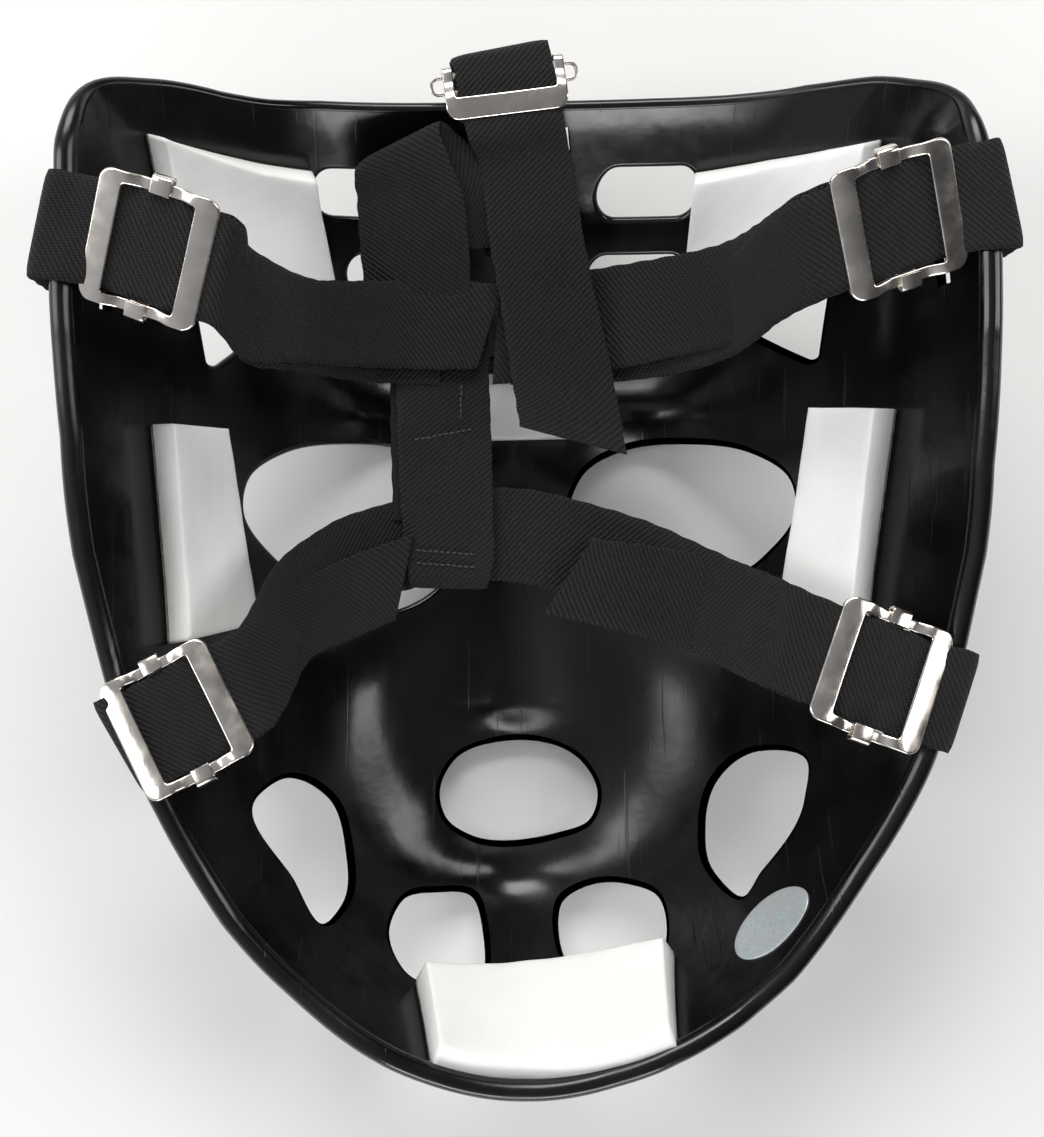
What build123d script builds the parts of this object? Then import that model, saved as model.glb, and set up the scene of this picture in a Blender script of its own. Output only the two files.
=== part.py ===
"""Ice hockey goalie mask: moulded shell, foam pads, elastic head harness and five sliding-bar buckles.

Frame: the mask lies face down. +Y points to the forehead, +X to the wearer's right side of the bowl
as seen from behind, +Z out of the bowl towards the back of the head. Millimetres.
"""
import math
import os

from build123d import *

os.makedirs("parts", exist_ok=True)

# ---- driving dimensions -------------------------------------------------------------------------
WALL = 2.8  # moulded shell thickness
FRONT = 9.0  # inner height of the flat of the face
SIDE_RISE, CHIN_RISE, TOP_RISE = 82.0, 62.0, 48.0  # rim height above the face at side, chin, forehead
HALF_WIDTH, TOP_Y, CHIN_Y = 105.5, 112.5, 127.0
GRID_X, GRID_Y = 45, 49  # points that carry the moulded surfaces
FACE_HALF, FACE_LOW, FACE_HIGH = 112.0, -132.0, 118.0  # extent of those surfaces
BEAD_R = 2.6  # rolled rim
PAD_THICK, PAD_GAP = 7.0, 0.7
TAPE_THICK, TAPE_GAP = 0.2, 0.35
STRAP_WIDTH, STRAP_THICK = 24.0, 1.4
LAYER = 1.9  # centre to centre of two strap layers that lie on each other
BUCKLE_LAYER = 3.0  # the same where the buckle's bar lies between them
SLOT_LENGTH, SLOT_HEIGHT, SLOT_DROP = 26.5, 4.4, 15.0
BUCKLE_LENGTH, BUCKLE_WIDTH, SHEET = 27.0, 29.5, 1.0
END_BAR, RAIL = 5.0, 2.4
BAR_WIDTH, HOOK_WIDTH = 6.0, 4.6
PLAY = 0.3  # free gap between pieces that slide on each other
HARNESS_X, HARNESS_TOP_Y, HARNESS_LOW_Y = -20.3, 76.0, -5.0
STITCH_ROWS = ((70, 42.95), (4, 48.95), (0, 48.95))  # y and z of each bar tack


# ---- moulded surface ----------------------------------------------------------------------------
def ease(value):
    value = min(1.0, max(0.0, value))
    return value * value * (3 - 2 * value)


def bell(distance):
    return math.exp(-distance * distance)


def reach(x, y):
    """0 at the middle of the face and about 1 on the rim: a superellipse that narrows to the chin."""
    across = abs(x) / HALF_WIDTH
    if y >= 0:
        power, along = 2 + 2.2 * ease(y / 70), y / TOP_Y
    else:
        power, along = 2 - 0.25 * ease(-y / 50), -y / CHIN_Y
    return (across**power + along**power) ** (1 / power)


def inner_z(x, y):
    """Height of the shell's inner face. Brows, nose and chin reach equally far forward and carry it."""
    heading = y / (math.hypot(x, y) + 1e-9)
    chin, top = ease((-heading - 0.35) / 0.65), ease((heading - 0.45) / 0.55)
    rise = SIDE_RISE + (CHIN_RISE - SIDE_RISE) * chin + (TOP_RISE - SIDE_RISE) * top
    z = FRONT + rise * reach(x, y) ** (2.7 + 2.3 * chin - 0.4 * top)
    z -= 10.5 * bell(math.hypot((abs(x) - 36) / 26, (y - 44) / 16))  # brows
    z -= 2.0 * bell(math.hypot(x / 26, (y - 44) / 16))
    nose = ease((30 - y) / 62) * (1 - ease((-36 - y) / 12))
    z -= 4.0 * nose * bell(x / (8 + 7 * ease((20 - y) / 60)))
    z -= 3.5 * bell(math.hypot((abs(x) - 50) / 20, (y + 22) / 22))  # cheek bones
    z -= 12.0 * bell(math.hypot(x / 30, (y + 88) / 18))  # chin
    return z


def normal(x, y):
    step = 0.5
    slope_x = (inner_z(x + step, y) - inner_z(x - step, y)) / (2 * step)
    slope_y = (inner_z(x, y + step) - inner_z(x, y - step)) / (2 * step)
    return Vector(-slope_x, -slope_y, 1).normalized()


def on_surface(x, y, height):
    """The point that stands height above the inner face, square to it."""
    return Vector(x, y, inner_z(x, y)) + normal(x, y) * height


def surface_face(height):
    """A moulded face that runs a few millimetres past the rim all round and narrows to the chin."""
    rows = []
    for i in range(GRID_X):
        side = 2 * i / (GRID_X - 1) - 1
        row = []
        for j in range(GRID_Y):
            y = FACE_LOW + (FACE_HIGH - FACE_LOW) * j / (GRID_Y - 1)
            row.append(on_surface(side * FACE_HALF * (1 - (max(0, 8 - y) / 155) ** 2.6), y, height))
        rows.append(row)
    return Face.make_surface_from_array_of_points(rows, tol=0.02, min_deg=3, max_deg=5)


# ---- shell --------------------------------------------------------------------------------------
SIDE_POINTS = [(0, -127), (30, -119.5), (58, -98), (80, -67), (95, -30), (103, 8), (106.3, 55), (105.8, 88)]
EYE = [(14.5, 17), (19, 27), (31, 33.8), (46, 34.8), (60, 31.5), (69, 24)]
EYE += [(70.5, 14), (64, 3), (50, -7), (34, -12), (21, -5)]
MOUTH = [(-21, -61), (-17, -52.5), (-6, -47.5), (8, -47.5), (18, -52.5)]
MOUTH += [(22.6, -61), (20.5, -69), (11, -74), (-12, -74.5), (-19, -69)]
CHEEK_LEFT = [(-66, -57.5), (-61.5, -54.6), (-49.5, -61), (-44.8, -74), (-45, -87), (-48, -90), (-57.5, -78)]
CHEEK_RIGHT = [(70.5, -47), (70, -57), (60, -75.5), (54, -82.5)]
CHEEK_RIGHT += [(50, -79), (48.9, -68), (52.5, -56), (62, -47.3)]
LOWER_LEFT = [(-33.5, -93.5), (-30.5, -88.3), (-21, -87.6), (-11, -90)]
LOWER_LEFT += [(-8.6, -97), (-9, -106), (-19, -107.5), (-29.5, -103)]
LOWER_RIGHT = [(12, -91), (18, -86.8), (29, -84.5), (37, -86.5)]
LOWER_RIGHT += [(38, -93), (35, -100), (23, -105), (13, -104)]
SIDE_VENTS = [((77.5, 47.5), (56, 66), (80, 71)), ((-80, 44), (-59, 62.5), (-83, 67.5))]  # tip, inner, outer
FOREHEAD_SLOTS = [(32.3, 95.2, 26, 10.6), (-40, 95.0, 26, 10.6), (31, 76.5, 26, 10.4), (-32, 76.5, 26, 10.4)]


def prism(outline, low=-80, high=260):
    return extrude(Plane.XY.offset(low) * make_face(outline), amount=high - low)


def rim_prism():
    side = Spline(SIDE_POINTS, tangents=[(1, 0), (-0.06, 1)])
    corner = Spline([(105.8, 88), (101.5, 105), (87, 112)], tangents=[(-0.06, 1), (-1, 0.03)])
    top = ThreePointArc((87, 112), (0, 111.5), (-87, 112))
    half = Curve() + [side, corner]
    return prism(half + mirror(half, about=Plane.YZ) + top)


def blob(points):
    return prism(Curve() + [Spline(points, periodic=True)])


def slot_prism(x, y, length, height):
    return extrude(Pos(x, y, -80) * SlotOverall(length, height), amount=340)


def flip(points):
    return [(-x, y) for x, y in points]


def triangle(tip, inner, outer):
    return prism(FilletPolyline(tip, inner, outer, radius=4.2, close=True))


def shell_solid(slots):
    shell = thicken(surface_face(0), amount=-WALL) & rim_prism()
    holes = [blob(EYE), blob(flip(EYE)), blob(MOUTH), blob(CHEEK_LEFT), blob(CHEEK_RIGHT)]
    holes += [blob(LOWER_LEFT), blob(LOWER_RIGHT)]
    holes += [slot_prism(*slot) for slot in FOREHEAD_SLOTS]
    holes += [triangle(*vent) for vent in SIDE_VENTS]
    for cutter in holes + slots:
        shell = shell - cutter
    return max(shell.solids(), key=lambda solid: solid.volume)


# ---- foam pads ----------------------------------------------------------------------------------
# Each pad: its corners on the inner face, first edge to second edge, and how far each edge bows in y.
PADS = {
    "forehead_pad_left": ((-89, 103), (-52, 101), (-87, 80), (-48, 77), 0, 0),
    "forehead_pad_right": ((44, 100), (86, 103), (44, 76), (87, 80), 0, 0),
    "brow_pad": ((-14, 57), (16, 57), (-13, 33), (16, 33.5), 0, 0),
    "temple_pad_left": ((-90, 36), (-72, 37), (-84, -19), (-67, -15), 0, 0),
    "temple_pad_right": ((73, 41), (91, 39), (68, -15), (86, -17), 0, 0),
    "chin_pad": ((-27, -100), (38, -95), (-24, -115.5), (36, -109.5), -5.5, -7),
}


def patch_face(corners, height, across=9, along=7):
    first_a, first_b, last_a, last_b, bow_first, bow_last = corners
    rows = []
    for i in range(across):
        s = i / (across - 1)
        bow = 4 * s * (1 - s)
        x0, y0 = (first_a[k] + (first_b[k] - first_a[k]) * s for k in (0, 1))
        x1, y1 = (last_a[k] + (last_b[k] - last_a[k]) * s for k in (0, 1))
        y0, y1 = y0 + bow * bow_first, y1 + bow * bow_last
        steps = [j / (along - 1) for j in range(along)]
        rows.append([on_surface(x0 + (x1 - x0) * t, y0 + (y1 - y0) * t, height) for t in steps])
    return Face.make_surface_from_array_of_points(rows, tol=0.01, min_deg=3, max_deg=5)


def layer_on_shell(corners, low, high):
    """A layer between two heights above the inner face, closed by ruled sides."""
    bottom, top = patch_face(corners, low), patch_face(corners, high)
    sides = []
    for edge in bottom.edges():
        partner = min(top.edges(), key=lambda other: (other.center() - edge.center()).length)
        sides.append(Face.make_surface_from_curves(edge, partner))
    return Solid(Shell([bottom, top, *sides]))


def label_solid():
    """Oval foil label, 24 x 13 mm, on the slope of the right cheek."""
    x, y, turn = 62, -86, 45
    corners = ((x - 14, y + 14), (x + 14, y + 14), (x - 14, y - 14), (x + 14, y - 14), 0, 0)
    foil = layer_on_shell(corners, 0.2, 0.4)
    oval = extrude(Pos(x, y, 0) * Rot(0, 0, turn) * Ellipse(11.3, 5.2), amount=160)
    return (foil & oval).solids()[0]


# ---- straps and buckles -------------------------------------------------------------------------
class Anchor:
    """Where a strap crosses the rim: u runs outwards over the rim, z upwards."""

    def __init__(self, x, y, heading, buckle_u):
        self.x, self.y, self.buckle_u = x, y, buckle_u
        self.out = Vector(math.cos(math.radians(heading)), math.sin(math.radians(heading)), 0)
        self.rim_z = inner_z(x, y)
        self.tail_z = self.rim_z + BEAD_R + PLAY + STRAP_THICK / 2
        self.main_z = self.tail_z - BUCKLE_LAYER
        self.slot_z = self.rim_z - SLOT_DROP
        self.plane = Plane(origin=(x, y, 0), x_dir=self.out, z_dir=self.out.cross(Vector(0, 0, 1)))

    def slot(self):
        size = Box(34, SLOT_LENGTH, SLOT_HEIGHT)
        return Plane(origin=self.at(-2, self.slot_z), x_dir=self.out, z_dir=(0, 0, 1)) * size

    def at(self, u, z):
        return Vector(self.x, self.y, z) + self.out * u


def mitred(points, distances):
    """The line to the right of a polyline, each segment moved square to itself by its own distance."""
    moved = []
    for (a, b), d in zip(zip(points, points[1:]), distances):
        length = math.dist(a, b)
        dx, dz = (b[0] - a[0]) / length, (b[1] - a[1]) / length
        moved.append((a[0] + dz * d, a[1] - dx * d, b[0] + dz * d, b[1] - dx * d, dx, dz))
    line = [moved[0][:2]]
    for one, two in zip(moved, moved[1:]):
        cross = one[4] * two[5] - one[5] * two[4]
        t = ((two[0] - one[0]) * two[5] - (two[1] - one[1]) * two[4]) / cross
        line.append((one[0] + one[4] * t, one[1] + one[5] * t))
    line.append(moved[-1][2:4])
    return line


def turns_left(a, b, c):
    return (b[0] - a[0]) * (c[1] - b[1]) - (b[1] - a[1]) * (c[0] - b[0]) > 0


def ribbon(plane, points, radii):
    """A strap of constant width whose side view follows the points, with rounded bends."""
    half = STRAP_THICK / 2
    lefts = [turns_left(*points[i : i + 3]) for i in range(len(points) - 2)]
    lines = [mitred(points, [side] * (len(points) - 1)) for side in (half, -half)]
    edges = Curve()
    for line, side in zip(lines, (half, -half)):
        bends = [radius + (side if left else -side) for radius, left in zip(radii, lefts)]
        edges += FilletPolyline(*line, radius=bends)
    edges += [Line(lines[0][k], lines[1][k]) for k in (0, -1)]
    return extrude(plane * make_face(edges), amount=STRAP_WIDTH / 2, both=True)


def side_strap(anchor, flat_u, sag, main_end, tail_end):
    """Main run, slot, loop over the rim, buckle and tail of one side strap."""
    sag_from = (flat_u, anchor.main_z)
    level = (sag[0] - 12, sag[1])
    tail = mitred([(0, anchor.main_z), sag_from, sag, level], [BUCKLE_LAYER, 2.4, LAYER])
    tail = [point if i else (0, anchor.tail_z) for i, point in enumerate(tail)]
    main = [(main_end, sag[1]), sag, sag_from, (-14.5, anchor.main_z), (-10, anchor.slot_z)]
    loop = [(4.4, anchor.slot_z), (4.4, anchor.tail_z)]
    points = main + loop + tail[1:3] + [(tail_end, sag[1] + LAYER)]
    radii = [12, 6, 2.2, 2.2, 2.4, 2.4, 8.4, 10]
    return ribbon(anchor.plane, points, radii)


def buckle_plane(anchor):
    """At the middle of the buckle, on the tail's centre line, x outwards and z away from the shell."""
    centre = anchor.at(anchor.buckle_u, anchor.tail_z)
    return Plane(origin=centre, x_dir=anchor.out, z_dir=(0, 0, 1))


def half_frame():
    """Half of the stamped frame: an end bar raised over the strap and half of each side rail."""
    raised = STRAP_THICK / 2 + PLAY + SHEET / 2
    bar_x = (BUCKLE_LENGTH - END_BAR) / 2
    rail_y = (BUCKLE_WIDTH - RAIL) / 2
    half = Pos(bar_x, 0, raised) * Box(END_BAR, BUCKLE_WIDTH, SHEET)
    for side in (-1, 1):
        half += Pos(BUCKLE_LENGTH / 4, side * rail_y, 0) * Box(BUCKLE_LENGTH / 2, RAIL, SHEET)
        half += Pos(bar_x, side * rail_y, raised / 2) * Box(END_BAR, RAIL, raised)
    upright = half.edges().filter_by(Axis.Z)
    corners = upright.group_by(lambda edge: round(edge.center().X + abs(edge.center().Y), 1))[-1]
    return fillet(corners, 2.0)


def buckle_frame(bend):
    """The frame, its outer half bent down by an angle where it hangs over an edge."""
    near = Rot(0, 0, 180) * half_frame()
    far = Rot(0, bend, 0) * half_frame()
    frame = near + far
    for side in (-1, 1):
        frame += Pos(0, side * (BUCKLE_WIDTH - RAIL) / 2, 0) * Rot(90, 0, 0) * Cylinder(SHEET / 2, RAIL)
    return frame


def buckle_bar(offset):
    """Sliding bar under the tail, with a hook round each rail of the frame."""
    low = -(STRAP_THICK / 2 + PLAY + SHEET / 2)
    hook_top = SHEET / 2 + PLAY + 0.4
    outside = BUCKLE_WIDTH / 2 + PLAY
    wall = 0.8
    bar = Pos(0, 0, low) * Box(BAR_WIDTH, 2 * (outside + wall), SHEET)
    for side in (-1, 1):
        upright = Box(HOOK_WIDTH, wall, hook_top - low)
        bar += Pos(0, side * (outside + wall / 2), (low + hook_top) / 2) * upright
        bar += Pos(0, side * (outside + wall - 1.6), hook_top) * Box(HOOK_WIDTH, 3.2, 0.8)
    return Pos(offset, 0, 0) * bar


ANCHORS = {
    "upper_left": Anchor(-106.1, 75.5, 168.5, -21.5),
    "upper_right": Anchor(106.1, 82.5, 12.0, -23.0),
    "lower_left": Anchor(-91.5, -40.0, 210.0, -14.8),
    "lower_right": Anchor(95.5, -29.5, -17.5, -17.5),
    "crown": Anchor(-2.6, 111.6, 101.0, 8.5),
}
CROWN_BEND, CROWN_BAR_OFFSET = 75, -4.4  # the crown buckle is bent over the forehead edge
# For each side strap: where it leaves the level run, its low point, end of main run, end of tail.
# The main runs stop just short of the back strap that they are sewn to.
SIDE_RUNS = {
    "upper_left": (-43.0, (-60.0, 42.0), -72.2, -103.0),
    "upper_right": (-45.0, (-62.0, 42.0), -113.6, -90.0),
    "lower_left": (-37.0, (-52.0, 48.0), -66.5, -76.0),
    "lower_right": (-39.0, (-56.0, 48.0), -104.3, -89.0),
}


def crown_strap(anchor):
    """Tail inside, out over the forehead edge and the buckle, down, back under the edge to the slot."""
    rim, over = anchor.rim_z, anchor.tail_z
    points = [(-34, 40.5), (-16, rim - 9), (-8.5, rim - 2.5), (-8.5, rim - 12.8), (9.5, rim - 12.0)]
    points += [(13, rim - 17.5), (17, rim - 14), (12.0, over), (-3.0, over)]
    points += [(-22, 52.0), (-37, 46.6), (-86, 46.2)]
    return ribbon(anchor.plane, points, [6, 2.6, 1.3, 1.8, 1.3, 1.5, 2.0, 6, 14, 14])


def slack_fold():
    """The crown strap's spare length, which lies folded to the left of the tail."""
    return tilted_box((-29, 107, 57.5), (-25, 79, 39.5), STRAP_WIDTH, STRAP_THICK)


def tilted_box(low, high, width, thick):
    """A flat strip between two points, level across its width."""
    a, b = Vector(*low), Vector(*high)
    along = (b - a).normalized()
    across = Vector(0, 0, 1).cross(along).normalized()
    frame = Plane(origin=(a + b) * 0.5, x_dir=along, z_dir=along.cross(across))
    return frame * Box((b - a).length, width, thick)


def back_strap():
    plane = Plane(origin=(HARNESS_X, 0, 0), x_dir=(0, 1, 0), z_dir=(1, 0, 0))
    points = [(HARNESS_TOP_Y, 42.0), (40, 42.0), (20, 48.0), (HARNESS_LOW_Y, 48.0)]
    return ribbon(plane, points, [20, 20])


def stitching():
    """Bar tacks on the back strap, seen as three short rows of thread."""
    left, right = HARNESS_X - 9, HARNESS_X + 9
    rows = [tilted_box((left, y, z), (right, y, z), 0.9, 0.4) for y, z in STITCH_ROWS]
    return Compound([row.solids()[0] for row in rows])


def strap_slots():
    """Four slots square to the side walls and one that runs down through the forehead."""
    crown = ANCHORS["crown"]
    slots = [anchor.slot() for name, anchor in ANCHORS.items() if name != "crown"]
    across = Plane(origin=crown.at(-8.5, 0), x_dir=crown.out, z_dir=(0, 0, 1))
    return slots + [across * Box(5.0, SLOT_LENGTH, 300)]


def all_pieces():
    pieces = {"shell": shell_solid(strap_slots()), "label": label_solid()}
    for name, corners in PADS.items():
        pieces[name] = layer_on_shell(corners, PAD_GAP, PAD_GAP + PAD_THICK)
    tapes = [layer_on_shell(corners, TAPE_GAP, TAPE_GAP + TAPE_THICK) for corners in PADS.values()]
    pieces["pad_tapes"] = Compound(tapes)
    for name, run in SIDE_RUNS.items():
        pieces[f"{name}_strap"] = side_strap(ANCHORS[name], *run)
    crown = crown_strap(ANCHORS["crown"]).solids() + slack_fold().solids()
    pieces["crown_strap"] = Compound(crown)
    pieces["back_strap"] = back_strap()
    pieces["harness_stitching"] = stitching()
    for name, anchor in ANCHORS.items():
        bend, offset = (CROWN_BEND, CROWN_BAR_OFFSET) if name == "crown" else (0, 0)
        pieces[f"{name}_buckle_frame"] = buckle_plane(anchor) * buckle_frame(bend)
        pieces[f"{name}_buckle_bar"] = buckle_plane(anchor) * buckle_bar(offset)
    return pieces


def main():
    """Writes every piece, with the origin under the middle of the whole mask."""
    pieces = all_pieces()
    box = Compound([solid for piece in pieces.values() for solid in piece.solids()]).bounding_box()
    middle = box.center()
    for name, piece in pieces.items():
        placed = Pos(-middle.X, -middle.Y, -box.min.Z) * piece
        placed.label = name
        export_step(placed, f"parts/{name}.step")
    print("origin moved by", -middle.X, -middle.Y, -box.min.Z)


if __name__ == "__main__":
    main()
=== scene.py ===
"""Looks of the ice hockey goalie mask: moulded shell, foam pads, twill elastic harness and nickel buckles."""
import math

import bmesh
import bpy
import numpy as np
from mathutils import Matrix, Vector
from mathutils.geometry import delaunay_2d_cdt


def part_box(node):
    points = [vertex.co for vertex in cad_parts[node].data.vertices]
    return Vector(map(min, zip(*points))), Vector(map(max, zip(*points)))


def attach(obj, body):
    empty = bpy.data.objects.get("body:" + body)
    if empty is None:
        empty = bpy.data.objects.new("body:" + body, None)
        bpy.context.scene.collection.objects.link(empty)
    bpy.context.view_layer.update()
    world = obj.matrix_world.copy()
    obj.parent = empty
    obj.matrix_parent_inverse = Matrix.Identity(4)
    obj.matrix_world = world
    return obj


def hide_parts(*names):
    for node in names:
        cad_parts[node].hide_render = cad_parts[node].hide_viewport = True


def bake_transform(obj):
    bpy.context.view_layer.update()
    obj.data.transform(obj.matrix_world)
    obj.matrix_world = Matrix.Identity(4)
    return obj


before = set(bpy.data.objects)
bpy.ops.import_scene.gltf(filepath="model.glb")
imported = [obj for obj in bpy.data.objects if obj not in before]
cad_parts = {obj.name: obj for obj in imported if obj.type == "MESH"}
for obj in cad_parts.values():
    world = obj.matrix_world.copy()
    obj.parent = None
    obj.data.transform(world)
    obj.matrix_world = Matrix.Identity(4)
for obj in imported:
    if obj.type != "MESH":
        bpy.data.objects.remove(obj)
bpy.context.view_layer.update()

# Shapes are laid out in millimetres about the middle of the face, then moved into the row frame.
SHELL_CORNER = np.array((107.08, 112.0, 97.877))
SHIFT = np.array(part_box("shell")[1]) - SHELL_CORNER / 1000
WALL = 2.8
BEAD_R, EDGE_R = 2.6, 1.45  # radius of the rolled rim, and of the plain edge along the forehead
FRONT, SIDE_RISE, CHIN_RISE, TOP_RISE = 9.0, 82.0, 62.0, 48.0
HALF_WIDTH, TOP_Y, CHIN_Y = 105.5, 112.5, 127.0
STRAP_HALF = 12.0
SLOT_DROP = 15.0
EYE_POSITION = (-15.6, 0.0, 450.0)  # viewpoint, straight above the open side
FOCAL = 55.07
FRAMING = 0.0603
rng = np.random.default_rng(7)


def to_row(points):
    return np.asarray(points, float) / 1000 + SHIFT


# ---- mesh helpers -------------------------------------------------------------------------------
def make_mesh(name, points, faces, material, uv=None, normals=None):
    """A smooth mesh from millimetre points; uv is one pair per point."""
    mesh = bpy.data.meshes.new(name)
    mesh.from_pydata(to_row(points).tolist(), [], [list(map(int, f)) for f in faces])
    mesh.polygons.foreach_set("use_smooth", [True] * len(mesh.polygons))
    if uv is not None:
        layer = mesh.uv_layers.new(name="UVMap")
        corners = np.zeros(len(mesh.loops), np.int32)
        mesh.loops.foreach_get("vertex_index", corners)
        layer.data.foreach_set("uv", np.asarray(uv, np.float32)[corners].ravel())
    mesh.update()
    if normals is not None:
        mesh.normals_split_custom_set_from_vertices(np.asarray(normals, float).tolist())
    made = bpy.data.objects.new(name, mesh)
    bpy.context.scene.collection.objects.link(made)
    mesh.materials.append(material)
    return made


def face_outwards(thing):
    work = bmesh.new()
    work.from_mesh(thing.data)
    bmesh.ops.recalc_face_normals(work, faces=work.faces)
    work.to_mesh(thing.data)
    work.free()
    return thing


def soften(thing, width, segments=3, angle=35):
    """Rounds the sharp edges a little and keeps the flats flat."""
    bevel = thing.modifiers.new("edges", "BEVEL")
    bevel.width, bevel.segments = width / 1000, segments
    bevel.limit_method, bevel.angle_limit = "ANGLE", math.radians(angle)
    bevel.harden_normals = True
    return thing


def skin(count, ring, closed=False):
    """Faces between neighbouring rings of points, each a closed loop."""
    bands = count if closed else count - 1
    return [(i * ring + k, i * ring + (k + 1) % ring, (i + 1) % count * ring + (k + 1) % ring,
             (i + 1) % count * ring + k) for i in range(bands) for k in range(ring)]


def capped(count, ring):
    """The same, with a flat cap on each end."""
    last = (count - 1) * ring
    return skin(count, ring) + [tuple(range(ring)), tuple(last + k for k in range(ring - 1, -1, -1))]


def unit(v):
    v = np.asarray(v, float)
    return v / (np.linalg.norm(v, axis=-1, keepdims=True) + 1e-12)


def ease(v):
    v = np.clip(v, 0, 1)
    return v * v * (3 - 2 * v)


def bell(d):
    return np.exp(-d * d)


def hermite(points, step, closed=False):
    """A smooth line through the points, sampled at most every step."""
    p = np.asarray(points, float)
    if closed:
        p = np.vstack([p[-2:], p, p[:3]])
    gap = np.linalg.norm(np.diff(p, axis=0), axis=1) + 1e-9
    t = np.concatenate([[0], np.cumsum(gap)])
    slope = np.gradient(p, t, axis=0, edge_order=1)
    line = []
    first, last = (2, len(p) - 3) if closed else (0, len(p) - 1)
    for i in range(first, last):
        n = max(1, math.ceil(gap[i] / step))
        s = np.arange(n)[:, None] / n
        h = gap[i]
        line.append((2 * s**3 - 3 * s**2 + 1) * p[i] + (s**3 - 2 * s**2 + s) * h * slope[i]
                    + (-2 * s**3 + 3 * s**2) * p[i + 1] + (s**3 - s**2) * h * slope[i + 1])
    if not closed:
        line.append(p[-1:])
    return np.vstack(line)


def filleted(points, radii, step=1.2, arc_steps=6):
    """A polyline with rounded bends, as points along it."""
    p = [np.asarray(q, float) for q in points]
    line = [p[0]]
    for i, radius in enumerate(radii, 1):
        a, b = unit(p[i - 1] - p[i]), unit(p[i + 1] - p[i])
        half = math.acos(float(np.clip(a @ b, -1, 1))) / 2
        reach = radius / math.tan(half)
        centre = p[i] + unit(a + b) * radius / math.sin(half)
        start, end = p[i] + a * reach - centre, p[i] + b * reach - centre
        turn = math.acos(float(np.clip(start @ end / radius**2, -1, 1)))
        for k in range(arc_steps + 1):
            s = k / arc_steps
            w0, w1 = math.sin((1 - s) * turn) / math.sin(turn), math.sin(s * turn) / math.sin(turn)
            line.append(centre + start * w0 + end * w1)
    line.append(p[-1])
    dense = [line[0]]
    for a, b in zip(line, line[1:]):
        n = max(1, math.ceil(np.linalg.norm(b - a) / step))
        dense += [a + (b - a) * (k + 1) / n for k in range(n)]
    return np.array(dense)


# ---- materials ----------------------------------------------------------------------------------
class Nodes:
    """Builds one node material."""

    def __init__(self, name):
        self.material = bpy.data.materials.new(name)
        self.material.use_nodes = True
        self.tree = self.material.node_tree
        self.tree.nodes.clear()
        self.shader = self.add("ShaderNodeBsdfPrincipled")
        out = self.add("ShaderNodeOutputMaterial")
        self.link(self.shader, "BSDF", out, "Surface")

    def add(self, kind, **inputs):
        made = self.tree.nodes.new(kind)
        for key, value in inputs.items():
            made.inputs[key.replace("_", " ")].default_value = value
        return made

    def link(self, a, out, b, into):
        self.tree.links.new(a.outputs[out], b.inputs[into])

    def math(self, operation, a, b=None):
        made = self.tree.nodes.new("ShaderNodeMath")
        made.operation = operation
        for k, value in enumerate((a, b)):
            if value is None:
                continue
            if isinstance(value, (int, float)):
                made.inputs[k].default_value = value
            else:
                self.tree.links.new(value, made.inputs[k])
        return made.outputs[0]

    def place(self, uv=False):
        where = self.add("ShaderNodeTexCoord")
        return where.outputs["UV" if uv else "Object"]

    def noise(self, vector, scale, detail=3.0, rough=0.5, stretch=None):
        if stretch is not None:
            move = self.add("ShaderNodeMapping")
            move.inputs["Scale"].default_value = stretch
            self.tree.links.new(vector, move.inputs["Vector"])
            vector = move.outputs[0]
        made = self.add("ShaderNodeTexNoise", Scale=scale, Detail=detail, Roughness=rough)
        self.tree.links.new(vector, made.inputs["Vector"])
        return made.outputs["Fac"]

    def ramp(self, value, stops):
        made = self.add("ShaderNodeValToRGB")
        elements = made.color_ramp.elements
        for k, (at, colour) in enumerate(stops):
            element = elements[k] if k < 2 else elements.new(at)
            element.position = at
            element.color = (*colour, 1) if len(colour) == 3 else colour
        self.tree.links.new(value, made.inputs["Fac"])
        return made.outputs["Color"]

    def span(self, value, low, high, lo=0.0, hi=1.0):
        made = self.add("ShaderNodeMapRange")
        for key, number in (("From Min", lo), ("From Max", hi), ("To Min", low), ("To Max", high)):
            made.inputs[key].default_value = number
        self.tree.links.new(value, made.inputs["Value"])
        return made.outputs[0]

    def bump(self, height, distance, strength=1.0, before=None):
        made = self.add("ShaderNodeBump", Strength=strength, Distance=distance)
        self.tree.links.new(height, made.inputs["Height"])
        if before is not None:
            self.tree.links.new(before, made.inputs["Normal"])
        return made.outputs["Normal"]

    def use(self, **sockets):
        for key, value in sockets.items():
            into = self.shader.inputs[key.replace("_", " ")]
            if isinstance(value, (int, float, tuple)):
                into.default_value = value
            else:
                self.tree.links.new(value, into)
        return self.material


def plastic():
    n = Nodes("shell_plastic")
    at = n.place()
    cloud = n.noise(at, 28, 4, 0.6)
    smear = n.noise(at, 60, 5, 0.65, (1, 0.25, 1))
    scratch = n.ramp(n.noise(at, 900, 2, 0.5, (1, 0.02, 0.05)), [(0.66, (0, 0, 0)), (0.72, (1, 1, 1))])
    rough = n.math("ADD", n.span(cloud, 0.13, 0.30, 0.3, 0.7), n.math("MULTIPLY", scratch, 0.10))
    rough = n.math("ADD", rough, n.span(smear, -0.03, 0.06, 0.35, 0.65))
    orange = n.bump(n.noise(at, 130, 3), 0.0006, 0.16)
    marks = n.bump(scratch, 0.00004, 0.5, orange)
    colour = n.ramp(cloud, [(0.3, (0.0022, 0.0022, 0.0024)), (0.75, (0.0048, 0.0048, 0.005))])
    return n.use(Base_Color=colour, Roughness=rough, Normal=marks, Specular_IOR_Level=0.5, IOR=1.5)


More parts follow.
